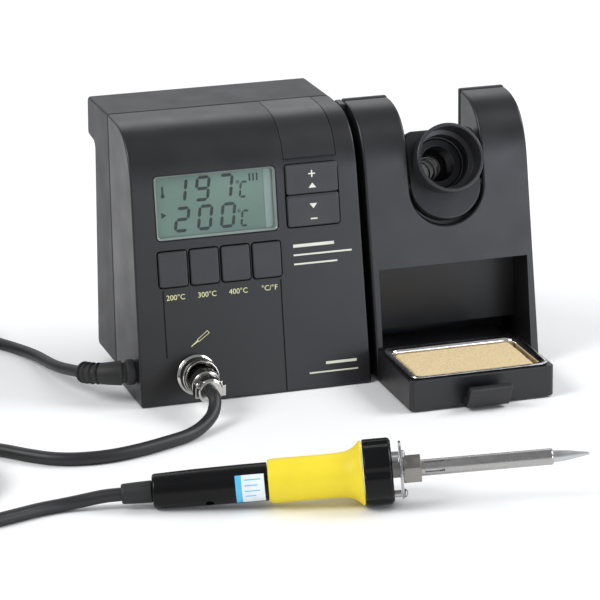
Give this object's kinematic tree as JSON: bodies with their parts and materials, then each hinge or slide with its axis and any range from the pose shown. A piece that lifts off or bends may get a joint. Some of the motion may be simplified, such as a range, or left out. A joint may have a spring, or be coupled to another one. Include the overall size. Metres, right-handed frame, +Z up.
{
  "type": "soldering iron station",
  "caption": "Bench soldering station: control unit with display and keys, stand with a tilting iron holder, sponge tray, and a hand iron on its cord.",
  "frame": {"origin": "on the surface that the station stands on, under the middle of the box round the station and the hand iron", "axes": "+Z up, +Y towards the rear of the station, +X towards its right side, where the iron stand is"},
  "size_m": [0.3687, 0.3455, 0.13],
  "materials": {
    "case_black": "satin black moulded plastic, finely textured",
    "cover_black": "matt black moulded plastic, textured",
    "key_black": "smooth black plastic",
    "window_clear": "clear polished plastic window",
    "display_grey": "grey-green reflective liquid crystal glass",
    "board_green": "green solder-masked board",
    "core_steel": "laminated steel, lacquered",
    "coil_copper": "enamelled copper winding",
    "foot_rubber": "matt black rubber",
    "cord_black": "black flexible cord jacket",
    "chrome": "polished nickel plate",
    "steel": "bright steel",
    "holder_black": "black heat-resistant moulding",
    "sponge_tan": "tan cellulose sponge with open pores",
    "grip_yellow": "soft yellow grip with fine ribs",
    "ceramic": "off-white fired ceramic",
    "tip_plated": "pale plated soldering tip"
  },
  "bodies": {
    "root": {"front_shell": "case_black", "rear_housing": "cover_black", "trim_strip": "key_black", "switch_frame": "key_black", "display_window": "window_clear", "display_module": "display_grey", "control_board": "board_green", "transformer_core": "core_steel", "transformer_winding": "coil_copper", "base_plate": "cover_black", "foot_front_left": "foot_rubber", "foot_front_right": "foot_rubber", "foot_rear_left": "foot_rubber", "foot_rear_right": "foot_rubber", "foot_stand_left": "foot_rubber", "foot_stand_right": "foot_rubber", "panel_socket": "chrome", "plug_shell": "chrome", "cord_clamp": "chrome", "mains_strain_relief": "foot_rubber", "mains_cord": "cord_black", "mains_coil": "cord_black", "mains_plug": "cord_black", "plug_pin_1": "steel", "plug_pin_2": "steel", "iron_cord_out": "cord_black", "iron_cord_coil": "cord_black", "iron_cord_in": "cord_black", "stand_body": "case_black", "stand_cover": "cover_black", "joining_web": "case_black", "holder_pin_left": "steel", "holder_pin_right": "steel"},
    "key_200": {"key_200": "key_black"},
    "key_300": {"key_300": "key_black"},
    "key_400": {"key_400": "key_black"},
    "key_unit": {"key_unit": "key_black"},
    "key_up": {"key_up": "key_black"},
    "key_down": {"key_down": "key_black"},
    "rocker": {"power_rocker": "key_black"},
    "coupling_ring": {"coupling_ring": "chrome"},
    "holder": {"iron_holder": "holder_black", "holder_sleeve": "holder_black", "holder_spring": "steel"},
    "tray": {"tray": "case_black"},
    "dish": {"sponge_dish": "steel"},
    "sponge": {"sponge": "sponge_tan"},
    "iron": {"handle_rear": "case_black", "grip": "grip_yellow", "flange": "case_black", "cord_sleeve": "foot_rubber", "heater_plate": "steel", "standoff_1": "steel", "standoff_2": "steel", "standoff_3": "steel", "heater": "ceramic", "barrel": "steel", "tip": "tip_plated"},
    "barrel_nut": {"barrel_nut": "steel"}
  },
  "joints": [
    {"name": "key_200_press", "type": "slide", "parent": "root", "child": "key_200", "axis": [0, 0.9894, -0.1454], "range_m": [0, 0.0008], "stiffness_N_per_m": 300},
    {"name": "key_300_press", "type": "slide", "parent": "root", "child": "key_300", "axis": [0, 0.9894, -0.1454], "range_m": [0, 0.0008], "stiffness_N_per_m": 300},
    {"name": "key_400_press", "type": "slide", "parent": "root", "child": "key_400", "axis": [0, 0.9894, -0.1454], "range_m": [0, 0.0008], "stiffness_N_per_m": 300},
    {"name": "key_unit_press", "type": "slide", "parent": "root", "child": "key_unit", "axis": [0, 0.9894, -0.1454], "range_m": [0, 0.0008], "stiffness_N_per_m": 300},
    {"name": "key_up_press", "type": "slide", "parent": "root", "child": "key_up", "axis": [0, 0.9894, -0.1454], "range_m": [0, 0.0008], "stiffness_N_per_m": 300},
    {"name": "key_down_press", "type": "slide", "parent": "root", "child": "key_down", "axis": [0, 0.9894, -0.1454], "range_m": [0, 0.0008], "stiffness_N_per_m": 300},
    {"name": "power_rocker_tilt", "type": "hinge", "parent": "root", "child": "rocker", "pos_m": [-0.05225, 0.1241, 0.0336], "axis": [1, 0, 0], "range_deg": [0, 14]},
    {"name": "coupling_ring_turn", "type": "hinge", "parent": "root", "child": "coupling_ring", "pos_m": [-0.05205, 0.04372, 0.01375], "axis": [0, -0.9894, 0.1454], "continuous": true},
    {"name": "holder_tilt", "type": "hinge", "parent": "root", "child": "holder", "pos_m": [0.07845, 0.0603, 0.09125], "axis": [1, 0, 0], "range_deg": [-12, 15]},
    {"name": "tray_slide", "type": "slide", "parent": "root", "child": "tray", "axis": [0, -1, 0], "range_m": [0, 0.03]},
    {"name": "dish_lift", "type": "slide", "parent": "tray", "child": "dish", "axis": [0, 0, 1], "range_m": [0, 0.03]},
    {"name": "sponge_lift", "type": "slide", "parent": "dish", "child": "sponge", "axis": [0, 0, 1], "range_m": [0, 0.02]},
    {"name": "iron_lift", "type": "slide", "parent": "root", "child": "iron", "axis": [0, 0, 1], "range_m": [0, 0.04]},
    {"name": "barrel_nut_turn", "type": "hinge", "parent": "iron", "child": "barrel_nut", "pos_m": [-0.01405, -0.1129, 0.01499], "axis": [0.9556, -0.2849, 0.075], "continuous": true}
  ]
}
